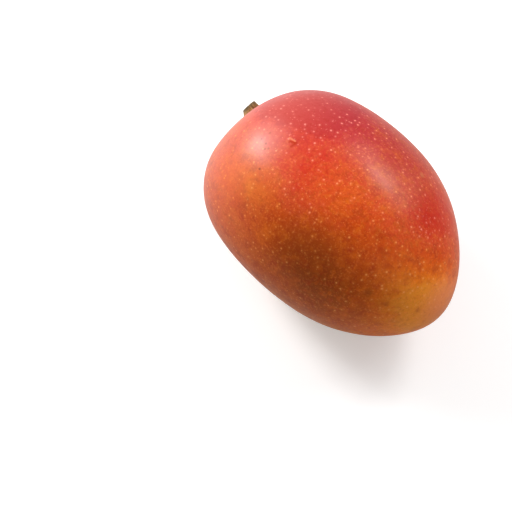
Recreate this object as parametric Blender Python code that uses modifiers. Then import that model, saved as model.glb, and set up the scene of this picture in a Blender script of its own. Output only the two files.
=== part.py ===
"""A whole Kent mango at its real size, with the stub of its woody stalk.

The fruit lies on one cheek, the way a loose mango comes to rest, and the stalk
stub stands in the shallow hollow of its stem end. Metres, +Z up. +X runs along
the fruit from the stem end to the apex, and +Y points to its rounder back. The
origin is on the ground, below the middle of the whole shape.
"""

import math

import bmesh
import bpy
from mathutils import Matrix, Vector
from mathutils.bvhtree import BVHTree

# The fruit's overall size
LENGTH = 0.1240         # stem end to apex, along its core
WIDTH = 0.0914          # belly to back
THICKNESS = 0.0868      # cheek to cheek

# How its outline departs from an ellipsoid's, as shares of the girth
TAPER = -0.071          # the stem half is the fuller one
FULLNESS = 0.103        # both ends are blunter than an ellipsoid's
BLUNTNESS = -0.221      # and the stem end is blunter still
UNEVEN = 0.005          # broad low swellings round the girth

# How it departs from a body turned on its core
BOW = 0.0023            # the core bows this far towards the back
SHOULDER = 0.0021       # the belly's shoulder stands this far past the stem end
SHOULDER_Y = -0.0210
SHOULDER_REACH = 0.0120
HOLLOW = 0.0006         # the hollow round the stalk
HOLLOW_REACH = 0.0080

# How it lies
REST_TILT = math.radians(1.9)   # the apex dips until the fruit balances
FOOT_DEPTH = 0.0005             # the cheek flattens this much where it bears

# The stalk stub, measured from the skin under it
STALK_Y = 0.0105
STALK_Z = 0.0035
STALK_LEAN = math.radians(16)   # it leans to the upper cheek
STALK_HEIGHT = 0.0065
STALK_DEPTH = 0.0030            # how far it goes down into the fruit
TIP_RADIUS = 0.0036
NECK_RADIUS = 0.0038
BASE_RADIUS = 0.0050
TIP_CHAMFER = 0.0004
GAP = 0.0003                    # clearance between stalk and socket

# How finely the round shapes are divided
GIRTH_STEPS = 64
CORE_STEPS = 40
STALK_STEPS = 28


def clear_scene():
    """Remove whatever the scene starts with."""
    for item in list(bpy.data.objects):
        bpy.data.objects.remove(item, do_unlink=True)


def new_collection(name):
    """A collection linked to the scene."""
    collection = bpy.data.collections.new(name)
    bpy.context.scene.collection.children.link(collection)
    return collection


def make_material(name, colour, roughness):
    """A plain Principled surface."""
    material = bpy.data.materials.new(name)
    material.use_nodes = True
    shader = material.node_tree.nodes["Principled BSDF"]
    shader.inputs["Base Color"].default_value = (*colour, 1.0)
    shader.inputs["Roughness"].default_value = roughness
    shader.inputs["Metallic"].default_value = 0.0
    material.diffuse_color = (*colour, 1.0)
    return material


def add_object(name, mesh, collection, parent=None):
    """An object for a mesh, in a collection and on a parent."""
    item = bpy.data.objects.new(name, mesh)
    collection.objects.link(item)
    item.parent = parent
    return item


def swelling(turn, along):
    """The low unevenness of the girth, as a factor near 1."""
    broad = math.sin(3 * turn + 2.6 * along + 0.7)
    fine = 0.6 * math.sin(5 * turn - 4.1 * along + 2.0)
    return 1 + UNEVEN * (broad + fine)


def bump(y, z, centre_y, centre_z, reach):
    """A smooth round bump across the stem end, 1 at its centre."""
    square = (y - centre_y) ** 2 + (z - centre_z) ** 2
    return math.exp(-square / (2 * reach ** 2))


def skin_point(ball):
    """Where a point of the unit ball, its pole along Z, lands on the fruit's skin."""
    along = max(-1.0, min(1.0, ball.z))
    turn = math.atan2(ball.y, ball.x)
    ellipse = math.sqrt(1 - along ** 2)
    girth = 1 + TAPER * along + FULLNESS * along ** 2 + BLUNTNESS * along ** 3
    girth *= ellipse * swelling(turn, along)
    x = LENGTH / 2 * along
    y = WIDTH / 2 * girth * math.cos(turn) + BOW * ellipse ** 2
    z = THICKNESS / 2 * girth * math.sin(turn)
    stem_half = max(0.0, -along) ** 2
    x += stem_half * HOLLOW * bump(y, z, STALK_Y, STALK_Z, HOLLOW_REACH)
    x -= stem_half * SHOULDER * bump(y, z, SHOULDER_Y, 0.0, SHOULDER_REACH)
    return Vector((x, y, z))


def flatten_cheek(bm):
    """Cut the small flat spot that the fruit lies on."""
    down = Matrix.Rotation(-REST_TILT, 3, "Y") @ Vector((0, 0, -1))
    lowest = max(vert.co.dot(down) for vert in bm.verts)
    cut = bmesh.ops.bisect_plane(
        bm,
        geom=bm.verts[:] + bm.edges[:] + bm.faces[:],
        plane_co=down * (lowest - FOOT_DEPTH),
        plane_no=down,
        clear_outer=True,
    )
    rim = [part for part in cut["geom_cut"] if isinstance(part, bmesh.types.BMEdge)]
    bmesh.ops.holes_fill(bm, edges=rim)


def make_fruit(collection, root, material):
    """The fruit, solid through, and the point of its skin under the stalk."""
    bm = bmesh.new()
    bmesh.ops.create_uvsphere(bm, u_segments=GIRTH_STEPS, v_segments=CORE_STEPS, radius=1.0)
    for vert in bm.verts:
        vert.co = skin_point(vert.co)
    flatten_cheek(bm)
    bmesh.ops.recalc_face_normals(bm, faces=bm.faces)
    outside = Vector((-LENGTH, STALK_Y, STALK_Z))
    stalk_foot = BVHTree.FromBMesh(bm).ray_cast(outside, Vector((1, 0, 0)))[0]
    mesh = bpy.data.meshes.new("fruit")
    bm.to_mesh(mesh)
    bm.free()
    mesh.materials.append(material)
    mesh.shade_smooth()
    mesh.set_sharp_from_angle(angle=math.radians(30))
    return add_object("fruit", mesh, collection, root), stalk_foot


def turned(name, profile, collection, root):
    """A closed shape turned on Z from a profile of (radius, height), top to bottom."""
    mesh = bpy.data.meshes.new(name)
    points = [(radius, 0.0, height) for radius, height in profile]
    mesh.from_pydata(points, [(i, i + 1) for i in range(len(points) - 1)], [])
    item = add_object(name, mesh, collection, root)
    screw = item.modifiers.new("Turn", "SCREW")
    screw.axis = "Z"
    screw.steps = STALK_STEPS
    screw.render_steps = STALK_STEPS
    screw.use_merge_vertices = True
    screw.merge_threshold = 0.00001
    screw.use_smooth_shade = False
    return item


def stalk_profile(gap):
    """The stub's outline from its cut tip to its buried end, let out by a gap."""
    tip = STALK_HEIGHT + gap
    end = -STALK_DEPTH - gap
    return [
        (0.0, tip),
        (TIP_RADIUS - TIP_CHAMFER + gap, tip),
        (TIP_RADIUS + gap, tip - TIP_CHAMFER),
        (NECK_RADIUS + gap, 0.45 * STALK_HEIGHT),
        (BASE_RADIUS + gap, 0.0),
        (BASE_RADIUS + gap, end),
        (0.0, end),
    ]


def stand_on_skin(item, stalk_foot):
    """Stand a turned piece on the stem end, leaning to the upper cheek."""
    item.location = stalk_foot
    item.rotation_euler = (0.0, -math.pi / 2 + STALK_LEAN, 0.0)


def make_stalk(collection, root, material, stalk_foot):
    """The cut stub of the woody stalk."""
    stalk = turned("stem", stalk_profile(0.0), collection, root)
    stalk.data.materials.append(material)
    stand_on_skin(stalk, stalk_foot)
    return stalk


def cut_socket(fruit, cutters, root, stalk_foot):
    """Make room in the fruit for the stalk."""
    cutter = turned("stem_socket", stalk_profile(GAP), cutters, root)
    stand_on_skin(cutter, stalk_foot)
    cutter.hide_render = True
    cutter.display_type = "WIRE"
    socket = fruit.modifiers.new("Socket", "BOOLEAN")
    socket.operation = "DIFFERENCE"
    socket.solver = "EXACT"
    socket.object = cutter


def set_on_ground(root, pieces):
    """Move the whole onto the ground, its middle over the origin."""
    bpy.context.view_layer.update()
    depsgraph = bpy.context.evaluated_depsgraph_get()
    points = []
    for piece in pieces:
        solid = piece.evaluated_get(depsgraph)
        points += [solid.matrix_world @ vert.co for vert in solid.data.vertices]
    low = Vector([min(point[axis] for point in points) for axis in range(3)])
    high = Vector([max(point[axis] for point in points) for axis in range(3)])
    middle = (low + high) / 2
    root.location -= Vector((middle.x, middle.y, low.z))
    bpy.context.view_layer.update()


def main():
    clear_scene()
    mango = new_collection("kent_mango")
    cutters = new_collection("cutters")
    skin = make_material("mango_skin", (0.60, 0.13, 0.03), 0.35)
    wood = make_material("stalk_wood", (0.16, 0.11, 0.05), 0.80)

    root = add_object("mango_rest", None, mango)
    root.rotation_euler = (0.0, REST_TILT, 0.0)
    fruit, stalk_foot = make_fruit(mango, root, skin)
    stalk = make_stalk(mango, root, wood, stalk_foot)
    cut_socket(fruit, cutters, root, stalk_foot)
    set_on_ground(root, [fruit, stalk])


main()
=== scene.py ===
"""A ripe Kent mango lying on one cheek, with the cut stub of its stalk."""

import math

import bmesh
import bpy
from mathutils import Matrix, Vector, noise
from mathutils.bvhtree import BVHTree


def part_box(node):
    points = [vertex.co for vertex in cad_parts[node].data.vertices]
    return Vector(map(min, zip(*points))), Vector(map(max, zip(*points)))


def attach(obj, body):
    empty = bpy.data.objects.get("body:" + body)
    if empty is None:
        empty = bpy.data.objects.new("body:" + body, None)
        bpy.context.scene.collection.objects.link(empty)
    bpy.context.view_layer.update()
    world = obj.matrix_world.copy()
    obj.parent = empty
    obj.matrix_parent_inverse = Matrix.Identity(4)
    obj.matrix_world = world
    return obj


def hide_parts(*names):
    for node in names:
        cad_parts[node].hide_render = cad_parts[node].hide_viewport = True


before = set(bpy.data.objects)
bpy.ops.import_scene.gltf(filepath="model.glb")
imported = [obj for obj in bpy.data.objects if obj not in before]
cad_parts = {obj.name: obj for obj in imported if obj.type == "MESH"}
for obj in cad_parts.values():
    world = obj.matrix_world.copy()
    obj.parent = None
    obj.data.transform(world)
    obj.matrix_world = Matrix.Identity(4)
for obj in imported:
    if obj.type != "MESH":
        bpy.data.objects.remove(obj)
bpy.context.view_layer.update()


# The fruit.
# One heavy egg-shaped body, a little flatter cheek to cheek than belly to back, fuller at the stem
# end. It lies on its cheek, where the skin gives a little, and the stalk sits in a shallow hollow.

LENGTH = 0.1240
WIDTH = 0.0914
THICKNESS = 0.0868
# How its form departs from an ellipsoid.
TAPER = -0.071
FULLNESS = 0.103
BLUNTNESS = -0.221
BOW = 0.0023
UNEVEN = 0.005
# The waves of that unevenness: how many round the girth, twist along it, start, share.
GIRTH_WAVES = (
    (3, 2.6, 0.7, 1.0),
    (5, -4.1, 2.0, 0.6),
)
# The shoulder of the stem end, and the hollow round the stalk.
SHOULDER = 0.0021
SHOULDER_Y = -0.0210
SHOULDER_REACH = 0.0120
HOLLOW = 0.0006
HOLLOW_REACH = 0.0080
# Where the stalk stands on the stem end, and how the fruit lies.
STALK_Y = 0.0105
STALK_Z = 0.0035
REST_TILT = math.radians(1.9)
FOOT_DEPTH = 0.0005
# The net of the skin, divided again close to the stalk and the nick, and its low waves.
SKIN_FINENESS = 7
FINER_BY_STALK = (0.0120, 0.0085)
FINER_BY_NICK = (0.0040, 0.0030)
WAVE_LENGTH = 0.014
WAVE_HEIGHT = 0.00012
# The lobed collar and the crease round the stalk.
COLLAR_RADIUS = 0.0064
COLLAR_WIDTH = 0.0010
COLLAR_HEIGHT = 0.00040
COLLAR_LOBES = 5
COLLAR_LOBE_SHARE = 0.35
COLLAR_LOBE_TURN = 0.6
CREASE_RADIUS = 0.0049
CREASE_WIDTH = 0.0005
CREASE_DEPTH = 0.00045
# The nick by the stem end.
NICK_PLACE = Vector((-0.0279, -0.0028, 0.0412))
NICK_RUN = Vector((0.94, 0.09, 0.33)).normalized()
NICK_LENGTH = 0.0016
NICK_WIDTH = 0.0005
NICK_DEPTH = 0.00018


def swelling(turn, along):
    """The low unevenness of the girth, as a factor near 1."""
    rise = 0.0
    for count, twist, start, share in GIRTH_WAVES:
        rise += share * math.sin(count * turn + twist * along + start)
    return 1 + UNEVEN * rise


def bump(y, z, centre_y, centre_z, reach):
    """A smooth round bump across the stem end, 1 at its centre."""
    square = (y - centre_y) ** 2 + (z - centre_z) ** 2
    return math.exp(-square / (2 * reach ** 2))


def skin_point(ball):
    """Where a point of the unit ball, its pole along Z, lands on the fruit's skin."""
    along = max(-1.0, min(1.0, ball.z))
    turn = math.atan2(ball.y, ball.x)
    ellipse = math.sqrt(1 - along ** 2)
    girth = 1 + TAPER * along + FULLNESS * along ** 2 + BLUNTNESS * along ** 3
    girth *= ellipse * swelling(turn, along)
    x = LENGTH / 2 * along
    y = WIDTH / 2 * girth * math.cos(turn) + BOW * ellipse ** 2
    z = THICKNESS / 2 * girth * math.sin(turn)
    stem_half = max(0.0, -along) ** 2
    x += stem_half * HOLLOW * bump(y, z, STALK_Y, STALK_Z, HOLLOW_REACH)
    x -= stem_half * SHOULDER * bump(y, z, SHOULDER_Y, 0.0, SHOULDER_REACH)
    return Vector((x, y, z))


def lying_place(points):
    """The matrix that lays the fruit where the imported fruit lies."""
    tilt = Matrix.Rotation(REST_TILT, 4, "Y")
    laid = [tilt @ point for point in points]
    low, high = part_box("fruit")
    shift = Vector((
        low.x - min(point.x for point in laid),
        high.y - max(point.y for point in laid),
        low.z - min(point.z for point in laid) - FOOT_DEPTH,
    ))
    return Matrix.Translation(shift) @ tilt


def skin_relief(point, from_stalk):
    """How far the skin stands off its smooth form: low waves, and a collar and crease at the stalk."""
    waves = WAVE_HEIGHT * noise.noise(point / WAVE_LENGTH)
    collar = COLLAR_HEIGHT * math.exp(-((from_stalk - COLLAR_RADIUS) / COLLAR_WIDTH) ** 2)
    crease = CREASE_DEPTH * math.exp(-((from_stalk - CREASE_RADIUS) / CREASE_WIDTH) ** 2)
    around = math.atan2(point.y - STALK_Y, point.z - STALK_Z)
    lobes = 1 + COLLAR_LOBE_SHARE * math.sin(COLLAR_LOBES * around + COLLAR_LOBE_TURN)
    return waves + lobes * collar - crease


def nick_depth(point):
    """The depth of the small nick beside the stem end, 0 away from it."""
    offset = point - NICK_PLACE
    along = offset.dot(NICK_RUN) / NICK_LENGTH
    across = (offset - NICK_RUN * offset.dot(NICK_RUN)).length / NICK_WIDTH
    return NICK_DEPTH * math.exp(-along ** 2 - across ** 2)


def refine(bm, centre, reach):
    """Divide the net of the ball once more wherever it lands within reach of a place."""
    near = []
    for edge in bm.edges:
        middle = (edge.verts[0].co + edge.verts[1].co).normalized()
        if (skin_point(middle) - centre).length < reach:
            near.append(edge)
    bmesh.ops.subdivide_edges(bm, edges=near, cuts=1, use_grid_fill=True)
    bmesh.ops.triangulate(bm, faces=bm.faces)
    for vert in bm.verts:
        vert.co.normalize()


bm = bmesh.new()
bmesh.ops.create_icosphere(bm, subdivisions=SKIN_FINENESS, radius=1.0)
stalk_side = Vector((-LENGTH / 2, STALK_Y, STALK_Z))
for reach in FINER_BY_STALK:
    refine(bm, stalk_side, reach)
for reach in FINER_BY_NICK:
    refine(bm, NICK_PLACE, reach)
for vert in bm.verts:
    vert.co = skin_point(vert.co)
PLACE = lying_place([vert.co for vert in bm.verts])
outside = Vector((-LENGTH, STALK_Y, STALK_Z))
STALK_FOOT = BVHTree.FromBMesh(bm).ray_cast(outside, Vector((1, 0, 0)))[0]
bmesh.ops.recalc_face_normals(bm, faces=bm.faces)
bm.normal_update()
relief = []
for vert in bm.verts:
    from_stalk = (vert.co - STALK_FOOT).length
    relief.append(vert.normal * (skin_relief(vert.co, from_stalk) - nick_depth(vert.co)))
for vert, rise in zip(bm.verts, relief):
    vert.co += rise
bmesh.ops.transform(bm, matrix=PLACE, verts=bm.verts)
# The cheek gives a little where it bears.
for vert in bm.verts:
    vert.co.z = max(vert.co.z, 0.0)
skin_mesh = bpy.data.meshes.new("mango_skin")
bm.to_mesh(skin_mesh)
bm.free()
skin_mesh.shade_smooth()
skin = bpy.data.objects.new("mango_skin", skin_mesh)
bpy.context.scene.collection.objects.link(skin)


def new_finish(name):
    """A material with its shader ready."""
    finish = bpy.data.materials.new(name)
    finish.use_nodes = True
    return finish


def feed(finish, socket, value):
    """Join a socket to another node's output, or set it to a plain number or colour."""
    if isinstance(value, bpy.types.NodeSocket):
        finish.node_tree.links.new(value, socket)
    else:
        socket.default_value = value


def lay_out(finish, turn, origin):
    """Places on the object, measured in metres from an origin and along axes turned about Y."""
    places = finish.node_tree.nodes.new("ShaderNodeTexCoord")
    frame_of = finish.node_tree.nodes.new("ShaderNodeMapping")
    frame_of.vector_type = "TEXTURE"
    frame_of.inputs["Location"].default_value = origin
    frame_of.inputs["Rotation"].default_value = (0.0, turn, 0.0)
    feed(finish, frame_of.inputs["Vector"], places.outputs["Object"])
    return frame_of.outputs["Vector"]


def stretch(finish, place, scale):
    """The same places, each axis multiplied by its own scale."""
    stretched = finish.node_tree.nodes.new("ShaderNodeMapping")
    stretched.inputs["Scale"].default_value = scale
    feed(finish, stretched.inputs["Vector"], place)
    return stretched.outputs["Vector"]


def reckon(finish, operation, first, second):
    """One step of arithmetic on two numbers or outputs."""
    step = finish.node_tree.nodes.new("ShaderNodeMath")
    step.operation = operation
    feed(finish, step.inputs[0], first)
    feed(finish, step.inputs[1], second)
    return step.outputs["Value"]


def ease(finish, value, start, end, top=1.0):
    """A smooth rise from 0 at the start to the top at the end."""
    step = finish.node_tree.nodes.new("ShaderNodeMapRange")
    step.interpolation_type = "SMOOTHSTEP"
    feed(finish, step.inputs["Value"], value)
    step.inputs["From Min"].default_value = start
    step.inputs["From Max"].default_value = end
    step.inputs["To Max"].default_value = top
    return step.outputs["Result"]


# Raw noise lies mostly between these two.
NOISE_LOW = 0.25
NOISE_HIGH = 0.75


def mottle(finish, place, size, height, detail=2.0):
    """Soft random patches of one size, most of them between minus and plus a height."""
    patches = finish.node_tree.nodes.new("ShaderNodeTexNoise")
    feed(finish, patches.inputs["Vector"], place)
    patches.inputs["Scale"].default_value = 1 / size
    patches.inputs["Detail"].default_value = detail
    step = finish.node_tree.nodes.new("ShaderNodeMapRange")
    feed(finish, step.inputs["Value"], patches.outputs[0])
    step.inputs["From Min"].default_value = NOISE_LOW
    step.inputs["From Max"].default_value = NOISE_HIGH
    step.inputs["To Min"].default_value = -height
    step.inputs["To Max"].default_value = height
    return step.outputs["Result"]


def nearness_to(finish, place, centre, inner, outer):
    """A round patch: 1 within the inner radius of a centre, fading to 0 at the outer one."""
    offset = finish.node_tree.nodes.new("ShaderNodeVectorMath")
    offset.operation = "DISTANCE"
    feed(finish, offset.inputs[0], place)
    offset.inputs[1].default_value = centre
    return ease(finish, offset.outputs["Value"], outer, inner)


def nearness_to_line(finish, place, start, end, half_width):
    """A thin patch: 1 along a straight line between two points, fading to 0 half a width away."""
    run = end - start
    from_start = finish.node_tree.nodes.new("ShaderNodeVectorMath")
    from_start.operation = "SUBTRACT"
    feed(finish, from_start.inputs[0], place)
    from_start.inputs[1].default_value = start
    part_way = finish.node_tree.nodes.new("ShaderNodeVectorMath")
    part_way.operation = "DOT_PRODUCT"
    feed(finish, part_way.inputs[0], from_start.outputs["Vector"])
    part_way.inputs[1].default_value = run / run.length_squared
    reach = finish.node_tree.nodes.new("ShaderNodeClamp")
    feed(finish, reach.inputs["Value"], part_way.outputs["Value"])
    nearest = finish.node_tree.nodes.new("ShaderNodeVectorMath")
    nearest.operation = "SCALE"
    nearest.inputs[0].default_value = run
    feed(finish, nearest.inputs["Scale"], reach.outputs["Result"])
    offset = finish.node_tree.nodes.new("ShaderNodeVectorMath")
    offset.operation = "DISTANCE"
    feed(finish, offset.inputs[0], from_start.outputs["Vector"])
    feed(finish, offset.inputs[1], nearest.outputs["Vector"])
    return ease(finish, offset.outputs["Value"], half_width, 0.0)


# How much of a pore's radius has its full strength, and how many times wider its halo is.
PORE_CORE = 0.25
PORE_HALO = 2.4


def pores(finish, place, spacing, radius, faintest):
    """Scattered round pores, each of its own strength, and the mask of their wider halos."""
    cells = finish.node_tree.nodes.new("ShaderNodeTexVoronoi")
    feed(finish, cells.inputs["Vector"], place)
    cells.inputs["Scale"].default_value = 1 / spacing
    parts = finish.node_tree.nodes.new("ShaderNodeSeparateColor")
    feed(finish, parts.inputs["Color"], cells.outputs["Color"])
    strength = ease(finish, parts.outputs["Red"], -faintest, 1.0)
    core = ease(finish, cells.outputs["Distance"], radius / spacing, PORE_CORE * radius / spacing)
    halo = ease(finish, cells.outputs["Distance"], PORE_HALO * radius / spacing, 0.0)
    return reckon(finish, "MULTIPLY", core, strength), reckon(finish, "MULTIPLY", halo, strength)


# Which of a mix node's sockets are its colours.
MIX_UNDER = 6
MIX_OVER = 7
MIX_RESULT = 2


def tint(finish, share, under, over):
    """One colour laid over another by a share."""
    mixed = finish.node_tree.nodes.new("ShaderNodeMix")
    mixed.data_type = "RGBA"
    feed(finish, mixed.inputs["Factor"], share)
    feed(finish, mixed.inputs[MIX_UNDER], under)
    feed(finish, mixed.inputs[MIX_OVER], over)
    return mixed.outputs[MIX_RESULT]


def shade_card(finish, value, shades):
    """Colours by a number from 0 to 1, from a list of (number, colour)."""
    card = finish.node_tree.nodes.new("ShaderNodeValToRGB")
    stops = card.color_ramp.elements
    while len(stops) < len(shades):
        stops.new(0.5)
    for stop, (number, colour) in zip(stops, shades):
        stop.position = number
        stop.color = colour
    feed(finish, card.inputs["Fac"], value)
    return card.outputs["Color"]


# The blush runs from 0, the orange ground, to 1, deep red. Places are shares of the fruit's half sizes.
BLUSH_SIDE = (-0.16, 0.16, 0.26)
BLUSH_LEVEL = 0.47
# Where it is stronger or weaker: place, reach, change.
BLUSH_PATCHES = (
    ((1.02, -0.11, 0.38), 0.75, -0.63),
    ((0.52, 0.42, 0.54), 0.62, 0.22),
    ((0.70, 0.18, 0.63), 0.53, 0.20),
    ((-0.43, -0.54, 0.75), 0.36, -0.40),
    ((-0.20, -0.47, 0.95), 0.45, 0.18),
    ((-0.58, 0.33, 0.71), 0.62, 0.57),
    ((-0.23, -0.06, 0.94), 0.30, 0.11),
    # Yellower under the streak mirrored on the ridge: partly the skin's own colour, partly painted
    # highlight.
    ((0.19, 0.25, 0.95), 0.28, -0.20),
    ((0.10, -0.35, -1.00), 1.15, -0.20),
)
# Random patches in it: size, change.
BLUSH_MOTTLING = (
    (0.0150, 0.06),
    (0.0045, 0.065),
    (0.0014, 0.045),
)
# Its colour at each strength.
BLUSH_SHADES = (
    (0.00, (0.79, 0.245, 0.016, 1.0)),
    (0.15, (0.81, 0.195, 0.006, 1.0)),
    (0.30, (0.74, 0.132, 0.002, 1.0)),
    (0.45, (0.67, 0.089, 0.001, 1.0)),
    (0.60, (0.625, 0.067, 0.004, 1.0)),
    (0.75, (0.64, 0.067, 0.014, 1.0)),
    (0.90, (0.585, 0.029, 0.006, 1.0)),
    (1.00, (0.48, 0.012, 0.002, 1.0)),
)
# Broad patches of other colours: crimson on the back, rust on the belly darkened further by painted shade,
# bare ground underneath.
CRIMSON_PLACE = (-0.10, 0.50, 0.67)
CRIMSON_REACH = 0.80
CRIMSON_SHARE = 0.75
CRIMSON = (0.365, 0.024, 0.047, 1.0)
RUST_AND_SHADE_PLACE = (0.28, -0.73, 0.43)
RUST_AND_SHADE_REACH = 0.90
RUST_AND_SHADE_SHARE = 0.80
RUST_AND_PAINTED_SHADE = (0.21, 0.044, 0.001, 1.0)
GROUND_PLACE = (0.25, -0.55, -0.95)
GROUND_REACH = 1.05
GROUND_SHARE = 0.60
GROUND = (0.56, 0.33, 0.030, 1.0)
# The blush counts as thin between the outer two of these strengths, wholly so between the inner two.
THIN_LOWEST = -0.35
THIN_LOW = 0.42
THIN_HIGH = 0.65
THIN_HIGHEST = 0.90
# A random patch has its whole share from this height on.
PATCH_FULL = 0.8
# Mottling of the thin blush: size, share, colour.
THIN_BLUSH_PATCHES = (
    (0.0075, 0.34, (0.70, 0.135, 0.006, 1.0)),
    (0.0034, 0.44, (0.72, 0.145, 0.006, 1.0)),
    (0.0052, 0.38, (0.34, 0.024, 0.001, 1.0)),
)
# The waxy bloom, by how far along the fruit it is: from where it starts to where it would be whole.
BLOOM_FROM = -0.06
BLOOM_FULL = -1.40
BLOOM_SHARE = 0.30
BLOOM_COLOUR = (0.73, 0.50, 0.47, 1.0)
# Orange flecks, gone where the blush is this strong, and whole where it is weaker.
FLECK_SIZE = 0.0009
FLECK_SHARE = 0.25
FLECK_GONE = 1.10
FLECK_FULL = 0.70
FLECK_COLOUR = (0.95, 0.24, 0.05, 1.0)
# Dark mottling, weaker on the bare ground and under the bloom: size and share of each kind.
DIM_PATCHES = (
    (0.0017, 0.31),
    (0.0008, 0.24),
)
DIM_ON_GROUND = 0.60
DIM_FULL = 0.45
VEIL_FROM = -0.10
VEIL_FULL = -0.60
VEIL_SHARE = 0.55
DIM_COLOUR = (0.335, 0.021, 0.002, 1.0)
SPECK_SPACING = 0.0021
SPECK_RADIUS = 0.00026
SPECK_SHARE = 0.24
# Pores, each kind: how far apart, radius, faintest, share in the middle, share in the halo.
PORES = (
    (0.0024, 0.00062, 0.2, 0.77, 0.10),
    (0.0015, 0.00036, 0.1, 0.42, 0.0),
)
PORES_ON_GROUND = 0.56
PORES_RISE = 0.1
PORES_FULL = 0.9
# Their colour at each strength of the blush.
PORE_SHADES = (
    (0.15, (1.00, 0.46, 0.14, 1.0)),
    (0.62, (1.00, 0.32, 0.07, 1.0)),
    (0.95, (1.00, 0.30, 0.24, 1.0)),
)
DARK_SPECK = (0.26, 0.060, 0.040, 1.0)
# Each mark: place, inner and outer radius, share, colour.
MARKS = (
    # A pale patch round the highlight on the stem end, a painted highlight, and the corky ring round the
    # stalk.
    (Vector((-0.0372, -0.0095, 0.0366)), 0.0020, 0.0160, 0.14, (0.80, 0.52, 0.50, 1.0)),
    (Vector((-0.0604, 0.0105, 0.0035)), 0.0055, 0.0130, 0.70, (0.62, 0.33, 0.20, 1.0)),
    # Small dark specks by the stem end.
    (Vector((-0.0294, -0.0203, 0.0356)), 0.0002, 0.0008, 0.70, (0.16, 0.020, 0.010, 1.0)),
    (Vector((-0.0385, -0.0103, 0.0370)), 0.0001, 0.0008, 0.55, DARK_SPECK),
    (Vector((-0.0353, -0.0109, 0.0379)), 0.0001, 0.0008, 0.65, DARK_SPECK),
    (Vector((-0.0338, -0.0129, 0.0377)), 0.0001, 0.0009, 0.50, DARK_SPECK),
    (Vector((-0.0327, -0.0119, 0.0383)), 0.0001, 0.0008, 0.50, DARK_SPECK),
    (Vector((-0.0376, -0.0062, 0.0382)), 0.0001, 0.0008, 0.45, DARK_SPECK),
    # Broad faint patches: peach, painted light on the low stem end; rose at the apex; dusk on the belly,
    # painted shade; deep red on the back.
    (Vector((-0.0400, -0.0270, 0.0240)), 0.0030, 0.0160, 0.30, (0.97, 0.21, 0.07, 1.0)),
    (Vector((0.0600, 0.0020, 0.0080)), 0.0040, 0.0170, 0.35, (0.72, 0.170, 0.130, 1.0)),
    (Vector((0.0100, -0.0320, 0.0270)), 0.0050, 0.0230, 0.40, (0.17, 0.026, 0.001, 1.0)),
    (Vector((0.0350, 0.0265, 0.0240)), 0.0050, 0.0180, 0.30, (0.52, 0.006, 0.002, 1.0)),
    # Pale marks along the ridge, under the streak mirrored there: painted highlight.
    (Vector((0.0190, 0.0180, 0.0375)), 0.0020, 0.0150, 0.05, (0.60, 0.40, 0.37, 1.0)),
    (Vector((0.0105, 0.0110, 0.0413)), 0.0015, 0.0100, 0.060, (0.60, 0.45, 0.40, 1.0)),
    (Vector((-0.0040, 0.0140, 0.0418)), 0.0015, 0.0110, 0.035, (0.60, 0.42, 0.42, 1.0)),
    # A spot of russet on the back, and dull blotches low on the belly.
    (Vector((0.0186, 0.0287, 0.0315)), 0.0004, 0.0020, 0.25, (0.62, 0.33, 0.10, 1.0)),
    (Vector((0.0380, -0.0232, 0.0223)), 0.0002, 0.0032, 0.42, (0.19, 0.034, 0.004, 1.0)),
    (Vector((0.0455, -0.0200, 0.0179)), 0.0001, 0.0024, 0.36, (0.22, 0.032, 0.004, 1.0)),
    (Vector((0.0557, -0.0104, 0.0127)), 0.0001, 0.0024, 0.30, (0.30, 0.030, 0.004, 1.0)),
)
SCAB = (0.42, 0.026, 0.003, 1.0)
PALE_FLESH = (0.95, 0.34, 0.15, 1.0)
# The scab beside the nick, and the nick's pale floor: from, to, half width, share, colour.
SCARS = (
    (Vector((-0.0255, -0.0032, 0.0415)), Vector((-0.0278, -0.0042, 0.0410)), 0.0012, 0.80, SCAB),
    (Vector((-0.0255, -0.0040, 0.0414)), Vector((-0.0258, -0.0056, 0.0410)), 0.0010, 0.70, SCAB),
    (Vector((-0.0292, -0.0030, 0.0408)), Vector((-0.0264, -0.0027, 0.0414)), 0.0007, 0.50, PALE_FLESH),
)
# The gloss and grain of the skin.
SKIN_ROUGHNESS = 0.40
SKIN_SPECULAR = 0.13
WAX_SHARE = 0.12
WAX_ROUGHNESS = 0.22
GLOSS_SIZE = 0.0050
GLOSS_SPREAD = 0.05
GRAIN_SIZE = 0.0009
GRAIN_DEPTH = 0.00002
DIMPLE_SIZE = 0.0032
DIMPLE_SHARE = 0.7

skin_finish = new_finish("mango_skin")
shader = skin_finish.node_tree.nodes["Principled BSDF"]
on_skin = lay_out(skin_finish, REST_TILT, PLACE.translation)
on_ball = stretch(skin_finish, on_skin, (2 / LENGTH, 2 / WIDTH, 2 / THICKNESS))

# The blush: strongest on the back of the upper cheek, gone at the apex and on the shaded belly.
sunny = skin_finish.node_tree.nodes.new("ShaderNodeVectorMath")
sunny.operation = "DOT_PRODUCT"
feed(skin_finish, sunny.inputs[0], on_ball)
sunny.inputs[1].default_value = BLUSH_SIDE
blush = reckon(skin_finish, "ADD", sunny.outputs["Value"], BLUSH_LEVEL)
for centre, reach, change in BLUSH_PATCHES:
    patch = nearness_to(skin_finish, on_ball, centre, 0.0, reach)
    blush = reckon(skin_finish, "ADD", blush, reckon(skin_finish, "MULTIPLY", patch, change))
for size, height in BLUSH_MOTTLING:
    blush = reckon(skin_finish, "ADD", blush, mottle(skin_finish, on_skin, size, height))
colour = shade_card(skin_finish, blush, BLUSH_SHADES)

# The deeper crimson high on the back.
crimson = nearness_to(skin_finish, on_ball, CRIMSON_PLACE, 0.0, CRIMSON_REACH)
crimson = reckon(skin_finish, "MULTIPLY", crimson, CRIMSON_SHARE)
colour = tint(skin_finish, crimson, colour, CRIMSON)

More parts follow.
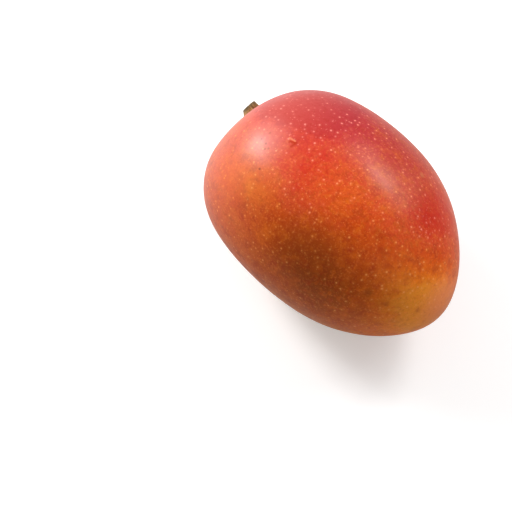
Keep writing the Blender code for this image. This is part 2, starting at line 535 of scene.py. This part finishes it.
# The rusty ground low on the belly, where the last of the blush lies over green; it is darkened further by
# painted shade.
rust_and_painted_shade = nearness_to(skin_finish, on_ball, RUST_AND_SHADE_PLACE, 0.0, RUST_AND_SHADE_REACH)
rust_and_painted_shade = reckon(skin_finish, "MULTIPLY", rust_and_painted_shade, RUST_AND_SHADE_SHARE)
colour = tint(skin_finish, rust_and_painted_shade, colour, RUST_AND_PAINTED_SHADE)

# The green-yellow ground that shows where no sun fell, under the belly.
ground = nearness_to(skin_finish, on_ball, GROUND_PLACE, 0.0, GROUND_REACH)
ground = reckon(skin_finish, "MULTIPLY", ground, GROUND_SHARE)
colour = tint(skin_finish, ground, colour, GROUND)

# Warm and dusky mottling where the blush thins over the ground colour.
for size, share, mottle_colour in THIN_BLUSH_PATCHES:
    patch = ease(skin_finish, mottle(skin_finish, on_skin, size, 1.0), 0.0, PATCH_FULL, share)
    patch = reckon(skin_finish, "MULTIPLY", patch, ease(skin_finish, blush, THIN_HIGHEST, THIN_HIGH))
    patch = reckon(skin_finish, "MULTIPLY", patch, ease(skin_finish, blush, THIN_LOWEST, THIN_LOW))
    colour = tint(skin_finish, patch, colour, mottle_colour)

# The waxy bloom over the stem end.
ball_parts = skin_finish.node_tree.nodes.new("ShaderNodeSeparateXYZ")
feed(skin_finish, ball_parts.inputs["Vector"], on_ball)
along_fruit = ball_parts.outputs["X"]
bloom_share = ease(skin_finish, along_fruit, BLOOM_FROM, BLOOM_FULL, BLOOM_SHARE)
colour = tint(skin_finish, bloom_share, colour, BLOOM_COLOUR)

# Fine orange flecks, fading out where the blush is deepest.
flecks = mottle(skin_finish, on_skin, FLECK_SIZE, 1.0, detail=1.0)
fleck_share = ease(skin_finish, flecks, 0.0, 1.0, FLECK_SHARE)
fleck_share = reckon(skin_finish, "MULTIPLY", fleck_share, ease(skin_finish, blush, FLECK_GONE, FLECK_FULL))
colour = tint(skin_finish, fleck_share, colour, FLECK_COLOUR)

# Dark mottling, fainter on the bare ground and under the bloom, and tiny dark specks.
more_on_blush = ease(skin_finish, blush, 0.0, DIM_FULL, 1 - DIM_ON_GROUND)
dim_strength = reckon(skin_finish, "ADD", more_on_blush, DIM_ON_GROUND)
veil = ease(skin_finish, along_fruit, VEIL_FROM, VEIL_FULL, VEIL_SHARE)
dim_strength = reckon(skin_finish, "MULTIPLY", dim_strength, reckon(skin_finish, "SUBTRACT", 1.0, veil))
for size, share in DIM_PATCHES:
    dim_share = ease(skin_finish, mottle(skin_finish, on_skin, size, 1.0), 0.0, PATCH_FULL, share)
    dim_share = reckon(skin_finish, "MULTIPLY", dim_share, dim_strength)
    colour = tint(skin_finish, dim_share, colour, DIM_COLOUR)
specks = pores(skin_finish, on_skin, SPECK_SPACING, SPECK_RADIUS, 0.0)[0]
colour = tint(skin_finish, reckon(skin_finish, "MULTIPLY", specks, SPECK_SHARE), colour, DIM_COLOUR)

# Pores: pale pink on the blush, yellower and fainter on the bare ground, the larger ones with a halo.
pore_colour = shade_card(skin_finish, blush, PORE_SHADES)
more_on_blush = ease(skin_finish, blush, PORES_RISE, PORES_FULL, 1 - PORES_ON_GROUND)
pore_strength = reckon(skin_finish, "ADD", more_on_blush, PORES_ON_GROUND)
pore_rise = 0.0
for spacing, radius, faintest, share, halo_share in PORES:
    core, halo = pores(skin_finish, on_skin, spacing, radius, faintest)
    core = reckon(skin_finish, "MULTIPLY", core, pore_strength)
    colour = tint(skin_finish, reckon(skin_finish, "MULTIPLY", halo, halo_share), colour, pore_colour)
    colour = tint(skin_finish, reckon(skin_finish, "MULTIPLY", core, share), colour, pore_colour)
    pore_rise = reckon(skin_finish, "ADD", core, pore_rise)

# The marks, then the scars beside the nick.
for place, inner, outer, share, mark_colour in MARKS:
    mark = nearness_to(skin_finish, on_skin, place, inner, outer)
    colour = tint(skin_finish, reckon(skin_finish, "MULTIPLY", mark, share), colour, mark_colour)
for start, end, half_width, share, scar_colour in SCARS:
    scar = nearness_to_line(skin_finish, on_skin, start, end, half_width)
    colour = tint(skin_finish, reckon(skin_finish, "MULTIPLY", scar, share), colour, scar_colour)
feed(skin_finish, shader.inputs["Base Color"], colour)

# The gloss of the wax, a little uneven, and the grain of the skin with its raised pores and dimples.
gloss = mottle(skin_finish, on_skin, GLOSS_SIZE, GLOSS_SPREAD, detail=3.0)
feed(skin_finish, shader.inputs["Roughness"], reckon(skin_finish, "ADD", gloss, SKIN_ROUGHNESS))
shader.inputs["Specular IOR Level"].default_value = SKIN_SPECULAR
shader.inputs["Coat Weight"].default_value = WAX_SHARE
shader.inputs["Coat Roughness"].default_value = WAX_ROUGHNESS
grain = reckon(skin_finish, "ADD", mottle(skin_finish, on_skin, GRAIN_SIZE, 1.0), pore_rise)
dimples = mottle(skin_finish, on_skin, DIMPLE_SIZE, DIMPLE_SHARE, detail=1.0)
relief_map = skin_finish.node_tree.nodes.new("ShaderNodeBump")
relief_map.inputs["Distance"].default_value = GRAIN_DEPTH
feed(skin_finish, relief_map.inputs["Height"], reckon(skin_finish, "ADD", grain, dimples))
feed(skin_finish, shader.inputs["Normal"], relief_map.outputs["Normal"])
skin_mesh.materials.append(skin_finish)
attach(skin, "root")
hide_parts("fruit")


# The stalk stub.
# The woody stump of the fruit's own stalk, cut off square 6.5 mm above the skin: ridged brown bark round
# paler wood with a soft pith. Its foot flares and goes 3 mm down into the fruit.

STALK_LEAN = math.radians(16)
STALK_HEIGHT = 0.0065
STALK_DEPTH = 0.0030
TIP_RADIUS = 0.0036
NECK_RADIUS = 0.0038
BASE_RADIUS = 0.0050
STALK_STEPS = 120
# From the pith in the cut face, over the bark and down to the buried end: radius and height.
STALK_OUTLINE = (
    (0.0, STALK_HEIGHT - 0.00050),
    (0.00045, STALK_HEIGHT - 0.00042),
    (0.00065, STALK_HEIGHT - 0.00016),
    (0.00200, STALK_HEIGHT - 0.00010),
    (0.00275, STALK_HEIGHT - 0.00016),
    (0.00290, STALK_HEIGHT - 0.00036),
    (0.00303, STALK_HEIGHT - 0.00008),
    (0.00335, STALK_HEIGHT),
    (TIP_RADIUS, STALK_HEIGHT - 0.00030),
    (TIP_RADIUS, 0.75 * STALK_HEIGHT),
    (NECK_RADIUS, 0.45 * STALK_HEIGHT),
    (0.00415, 0.25 * STALK_HEIGHT),
    (0.00465, 0.08 * STALK_HEIGHT),
    (BASE_RADIUS, -0.05 * STALK_HEIGHT),
    (BASE_RADIUS, -STALK_DEPTH),
    (0.0, -STALK_DEPTH),
)
STALK_ROWS_BETWEEN = 3
STALK_MERGE = 0.000002
STALK_SHARP = math.radians(50)
BARK_FROM = 0.0031
# The ribs of the bark: height, how many, how unevenly spaced, and turn for each metre along the stalk.
RIB_HEIGHT = 0.00010
RIBS = 7
RIB_SWAY = 0.9
RIB_TWIST = 90
# Its cracks, the lobes of its foot, and the flare on its belly side.
CRACK_DEPTH = 0.00022
CRACKS_ROUND = 5
CRACKS_ALONG = 260
FOOT_LOBES = 5
FOOT_LOBE_HEIGHT = 0.00025
FOOT_LOBE_TURN = 1.0
FOOT_LOBES_END = 0.0025
BELLY_FLARE = 0.0014
FLARE_TOP = 0.0061
FLARE_FULL = 0.0042
# The rough cut face.
FACE_FROM = 0.9 * STALK_HEIGHT
FACE_ROUGH = 0.00010
FACE_GRAIN = 1100
FACE_SINK = 0.3


def bark_rise(turn, height):
    """How far the bark stands out: ribs, fine cracks, lobes at the foot, and a flare to the belly."""
    ribs = RIB_HEIGHT * math.sin(RIBS * turn + RIB_SWAY * math.sin(turn) + RIB_TWIST * height)
    bark_place = Vector((
        CRACKS_ROUND * math.cos(turn),
        CRACKS_ROUND * math.sin(turn),
        CRACKS_ALONG * height,
    ))
    cracks = noise.noise(bark_place)
    low = max(0.0, 1 - height / FOOT_LOBES_END) ** 2
    lobes = FOOT_LOBE_HEIGHT * low * math.sin(FOOT_LOBES * turn + FOOT_LOBE_TURN)
    grown = max(0.0, min(1.0, (FLARE_TOP - height) / (FLARE_TOP - FLARE_FULL)))
    flare = BELLY_FLARE * grown * max(0.0, -math.sin(turn)) ** 2
    return ribs + CRACK_DEPTH * cracks + lobes + flare


bm = bmesh.new()
outline = [bm.verts.new((radius, 0.0, height)) for radius, height in STALK_OUTLINE]
for first, second in zip(outline, outline[1:]):
    bm.edges.new((first, second))
bmesh.ops.subdivide_edges(bm, edges=bm.edges, cuts=STALK_ROWS_BETWEEN)
bmesh.ops.spin(
    bm,
    geom=bm.verts[:] + bm.edges[:],
    cent=(0.0, 0.0, 0.0),
    axis=(0.0, 0.0, 1.0),
    angle=2 * math.pi,
    steps=STALK_STEPS,
    use_merge=True,
)
bmesh.ops.remove_doubles(bm, verts=bm.verts, dist=STALK_MERGE)
for vert in bm.verts:
    radius = math.hypot(vert.co.x, vert.co.y)
    if radius > BARK_FROM and vert.co.z > -STALK_DEPTH / 2:
        rise = bark_rise(math.atan2(vert.co.y, vert.co.x), vert.co.z)
        vert.co.x *= 1 + rise / radius
        vert.co.y *= 1 + rise / radius
    if vert.co.z > FACE_FROM:
        vert.co.z += FACE_ROUGH * (noise.noise(vert.co * FACE_GRAIN) - FACE_SINK)
STALK_TURN = REST_TILT - math.pi / 2 + STALK_LEAN
stalk_place = Matrix.Translation(PLACE @ STALK_FOOT) @ Matrix.Rotation(STALK_TURN, 4, "Y")
bmesh.ops.transform(bm, matrix=stalk_place, verts=bm.verts)
bmesh.ops.recalc_face_normals(bm, faces=bm.faces)
stalk_mesh = bpy.data.meshes.new("stalk_stub")
bm.to_mesh(stalk_mesh)
bm.free()
stalk_mesh.shade_smooth()
stalk_mesh.set_sharp_from_angle(angle=STALK_SHARP)
stalk = bpy.data.objects.new("stalk_stub", stalk_mesh)
bpy.context.scene.collection.objects.link(stalk)

# The bark: dark and greyish at the tip, redder at the foot, paler on the flare.
BARK_SHADES = (
    (0.00, (0.095, 0.036, 0.007, 1.0)),
    (0.35, (0.190, 0.086, 0.022, 1.0)),
    (0.65, (0.300, 0.142, 0.040, 1.0)),
    (1.00, (0.440, 0.250, 0.090, 1.0)),
)
BARK_MIDDLE = 0.5
STREAK_SIZE = 0.0007
STREAK_CONTRAST = 0.6
STREAK_PULL = (1.0, 1.0, 0.16)
BARK_PATCH_SIZE = 0.0022
BARK_PATCH_CONTRAST = 0.25
BARK_TIP = (0.120, 0.098, 0.050, 1.0)
TIP_BELOW_CUT = (0.0022, 0.0005)
TIP_SHARE = 0.75
BARK_FOOT = (0.300, 0.105, 0.038, 1.0)
FOOT_ABOVE_SKIN = (0.0044, 0.0026)
FOOT_SHARE = 0.50
BARK_FLARE = (0.480, 0.270, 0.110, 1.0)
FLARE_OUT = (-0.0027, -0.0043)
FLARE_SHARE = 0.75
BARK_ROUGHNESS = 0.72
BARK_GLOSS_SIZE = 0.0010
BARK_GLOSS_SPREAD = 0.08
BARK_SPECULAR = 0.30
BARK_RELIEF = 0.00012
# The cut wood inside the bark: fine rings, and the dark pith in the middle.
WOOD_SHADES = (
    (0.00, (0.240, 0.150, 0.060, 1.0)),
    (0.55, (0.420, 0.300, 0.140, 1.0)),
    (1.00, (0.560, 0.430, 0.240, 1.0)),
)
WOOD_MIDDLE = 0.6
WOOD_GRAIN_SIZE = 0.0004
WOOD_GRAIN_CONTRAST = 0.35
RING_PITCH = 0.00042
RING_CONTRAST = 0.16
PITH = (0.120, 0.070, 0.028, 1.0)
PITH_EDGE = (0.0008, 0.0004)
FACE_BELOW_CUT = (0.0007, 0.0005)
FACE_EDGE = (0.00300, 0.00286)

bark = new_finish("stalk_bark")
shader = bark.node_tree.nodes["Principled BSDF"]
on_stalk = lay_out(bark, STALK_TURN, PLACE @ STALK_FOOT)
streaks = mottle(bark, stretch(bark, on_stalk, STREAK_PULL), STREAK_SIZE, STREAK_CONTRAST, detail=3.0)
patches = mottle(bark, on_stalk, BARK_PATCH_SIZE, BARK_PATCH_CONTRAST)
tone = reckon(bark, "ADD", reckon(bark, "ADD", streaks, patches), BARK_MIDDLE)
bark_colour = shade_card(bark, tone, BARK_SHADES)
parts = bark.node_tree.nodes.new("ShaderNodeSeparateXYZ")
feed(bark, parts.inputs["Vector"], on_stalk)
above_skin = parts.outputs["Z"]
below_cut = reckon(bark, "SUBTRACT", STALK_HEIGHT, above_skin)
at_foot = ease(bark, above_skin, *FOOT_ABOVE_SKIN, FOOT_SHARE)
bark_colour = tint(bark, at_foot, bark_colour, BARK_FOOT)
at_flare = ease(bark, parts.outputs["Y"], *FLARE_OUT, FLARE_SHARE)
bark_colour = tint(bark, at_flare, bark_colour, BARK_FLARE)
at_tip = ease(bark, below_cut, *TIP_BELOW_CUT, TIP_SHARE)
bark_colour = tint(bark, at_tip, bark_colour, BARK_TIP)
from_core = bark.node_tree.nodes.new("ShaderNodeVectorMath")
from_core.operation = "LENGTH"
feed(bark, from_core.inputs[0], stretch(bark, on_stalk, (1.0, 1.0, 0.0)))
rings = reckon(bark, "MULTIPLY", from_core.outputs["Value"], 2 * math.pi / RING_PITCH)
rings = reckon(bark, "MULTIPLY", reckon(bark, "SINE", rings, 0.0), RING_CONTRAST)
wood_grain = mottle(bark, on_stalk, WOOD_GRAIN_SIZE, WOOD_GRAIN_CONTRAST, detail=3.0)
wood_tone = reckon(bark, "ADD", reckon(bark, "ADD", wood_grain, rings), WOOD_MIDDLE)
wood_colour = shade_card(bark, wood_tone, WOOD_SHADES)
wood_colour = tint(bark, ease(bark, from_core.outputs["Value"], *PITH_EDGE), wood_colour, PITH)
near_cut = ease(bark, below_cut, *FACE_BELOW_CUT)
within_bark = ease(bark, from_core.outputs["Value"], *FACE_EDGE)
on_face = reckon(bark, "MULTIPLY", near_cut, within_bark)
feed(bark, shader.inputs["Base Color"], tint(bark, on_face, bark_colour, wood_colour))
bark_gloss = mottle(bark, on_stalk, BARK_GLOSS_SIZE, BARK_GLOSS_SPREAD)
feed(bark, shader.inputs["Roughness"], reckon(bark, "ADD", bark_gloss, BARK_ROUGHNESS))
shader.inputs["Specular IOR Level"].default_value = BARK_SPECULAR
bark_relief = bark.node_tree.nodes.new("ShaderNodeBump")
bark_relief.inputs["Distance"].default_value = BARK_RELIEF
feed(bark, bark_relief.inputs["Height"], streaks)
feed(bark, shader.inputs["Normal"], bark_relief.outputs["Normal"])
stalk_mesh.materials.append(bark)
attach(stalk, "root")
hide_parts("stem")


# The floor.
# A plain white sheet, wide enough that its edges never show. It isn't part of the fruit, and lies loose
# under it, where it looks white and throws only a little light back up.

FLOOR_REACH = 3.0
FLOOR_ROUGHNESS = 0.6
FLOOR_WHITE = (0.92, 0.92, 0.92, 1.0)
FLOOR_BOUNCE = (0.42, 0.42, 0.42, 1.0)
PURE_WHITE = (1.0, 1.0, 1.0, 1.0)
FLOOR_MIRRORED = 0.3
FLOOR_LIFT = 0.23
FAR_LIFT = 0.62
LIFT_FROM = 0.12
LIFT_TO = 0.60

bm = bmesh.new()
bmesh.ops.create_grid(bm, x_segments=1, y_segments=1, size=FLOOR_REACH)
floor_mesh = bpy.data.meshes.new("floor")
bm.to_mesh(floor_mesh)
bm.free()
floor = bpy.data.objects.new("floor", floor_mesh)
bpy.context.scene.collection.objects.link(floor)
floor_finish = new_finish("white_sheet")
shader = floor_finish.node_tree.nodes["Principled BSDF"]
shader.inputs["Roughness"].default_value = FLOOR_ROUGHNESS
# It looks white, and throws less light back up and mirrors less than white paper would.
path = floor_finish.node_tree.nodes.new("ShaderNodeLightPath")
looked_at = path.outputs["Is Camera Ray"]
mirrored = reckon(floor_finish, "MULTIPLY", path.outputs["Is Glossy Ray"], FLOOR_MIRRORED)
whiteness = reckon(floor_finish, "ADD", looked_at, mirrored)
feed(floor_finish, shader.inputs["Base Color"], tint(floor_finish, whiteness, FLOOR_BOUNCE, FLOOR_WHITE))
# The lift towards pure white, for the camera alone, grows with the distance from the fruit.
from_fruit = floor_finish.node_tree.nodes.new("ShaderNodeVectorMath")
from_fruit.operation = "LENGTH"
feed(floor_finish, from_fruit.inputs[0], lay_out(floor_finish, 0.0, (0.0, 0.0, 0.0)))
lift = ease(floor_finish, from_fruit.outputs["Value"], LIFT_FROM, LIFT_TO, FAR_LIFT)
lift = reckon(floor_finish, "MULTIPLY", reckon(floor_finish, "ADD", lift, FLOOR_LIFT), looked_at)
feed(floor_finish, shader.inputs["Emission Strength"], lift)
shader.inputs["Emission Color"].default_value = PURE_WHITE
floor_mesh.materials.append(floor_finish)


# The camera.
# It looks down on the upper cheek, turned so that the fruit lies across the picture as in the photo.

# In pixels: the side of the photo, and where the fruit's middle shows in it.
PHOTO_SIDE = 512
FRUIT_PIXEL_X = 332.6
FRUIT_PIXEL_Y = 211.9
# Angles in radians, the lens and sensor in millimetres, the rest in metres.
CAMERA_AZIMUTH = math.radians(45.45)
CAMERA_ELEVATION = math.radians(65.0)
CAMERA_DISTANCE = 0.5368
LENS = 85.0
SENSOR = 36.0
NEAREST_SEEN = 0.01
FARTHEST_SEEN = 20.0
FRUIT_MIDDLE = Vector((-0.0015, -0.0007, 0.0433))

back = Vector((
    math.sin(CAMERA_AZIMUTH) * math.cos(CAMERA_ELEVATION),
    -math.cos(CAMERA_AZIMUTH) * math.cos(CAMERA_ELEVATION),
    math.sin(CAMERA_ELEVATION),
))
right = Vector((math.cos(CAMERA_AZIMUTH), math.sin(CAMERA_AZIMUTH), 0.0))
up = back.cross(right)
pixel = CAMERA_DISTANCE * SENSOR / LENS / PHOTO_SIDE
aside = (FRUIT_PIXEL_X - PHOTO_SIDE / 2) * pixel
above = (PHOTO_SIDE / 2 - FRUIT_PIXEL_Y) * pixel
lens = bpy.data.cameras.new("camera")
lens.lens = LENS
lens.sensor_width = SENSOR
lens.clip_start = NEAREST_SEEN
lens.clip_end = FARTHEST_SEEN
camera = bpy.data.objects.new("camera", lens)
bpy.context.scene.collection.objects.link(camera)
camera.location = FRUIT_MIDDLE + back * CAMERA_DISTANCE - right * aside - up * above
camera.rotation_mode = "QUATERNION"
camera.rotation_quaternion = Matrix((right, up, back)).transposed().to_quaternion()
bpy.context.scene.camera = camera


# The light.
# A bright white studio. The key boxes stand beyond the stem end, a strip and a wide box along the far
# side, and a faint one behind the apex. The fill beside the apex isn't mirrored in the skin.

# Each soft box: name, which way it stands from the fruit, distance, width, height, power, mirrored.
SOFT_BOXES = (
    ("key_box", (-0.82, -0.15, 0.55), 0.60, 0.14, 0.16, 1.85, True),
    ("key_low", (-0.70, -0.30, 0.64), 0.60, 0.10, 0.08, 0.30, True),
    ("key_spread", (-0.82, -0.16, 0.55), 0.60, 0.28, 0.32, 0.92, True),
    ("end_box", (-0.90, -0.30, 0.40), 0.60, 0.40, 0.40, 0.60, True),
    ("far_strip", (0.03, 0.67, 0.74), 0.70, 0.22, 0.07, 0.96, True),
    ("far_spread", (0.10, 0.71, 0.69), 0.70, 0.50, 0.30, 1.95, True),
    ("back_box", (0.75, 0.55, 0.40), 0.90, 0.80, 0.60, 0.40, True),
    ("right_fill", (0.85, -0.20, 0.50), 0.90, 0.60, 0.60, 1.86, False),
)
WALL_LIGHT = 0.28
WALL_BRIGHTNESS = 1.0

for name, toward, distance, width, height, power, mirrored_in_skin in SOFT_BOXES:
    light = bpy.data.lights.new(name, "AREA")
    light.shape = "RECTANGLE"
    light.size = width
    light.size_y = height
    light.energy = power
    lamp = bpy.data.objects.new(name, light)
    bpy.context.scene.collection.objects.link(lamp)
    direction = Vector(toward).normalized()
    lamp.location = FRUIT_MIDDLE + direction * distance
    lamp.rotation_mode = "QUATERNION"
    lamp.rotation_quaternion = (-direction).to_track_quat("-Z", "Y")
    lamp.visible_glossy = mirrored_in_skin
world = bpy.data.worlds.new("studio")
bpy.context.scene.world = world
world.use_nodes = True
# The walls look white, and their own light is faint beside the boxes'.
sky = world.node_tree.nodes["Background"]
sky.inputs["Color"].default_value = PURE_WHITE
seen = world.node_tree.nodes.new("ShaderNodeLightPath")
brightness = world.node_tree.nodes.new("ShaderNodeMapRange")
brightness.inputs["To Min"].default_value = WALL_LIGHT
brightness.inputs["To Max"].default_value = WALL_BRIGHTNESS
world.node_tree.links.new(seen.outputs["Is Camera Ray"], brightness.inputs["Value"])
world.node_tree.links.new(brightness.outputs["Result"], sky.inputs["Strength"])
# The colours show as they are, with no film curve over them.
bpy.context.scene.view_settings.view_transform = "Standard"
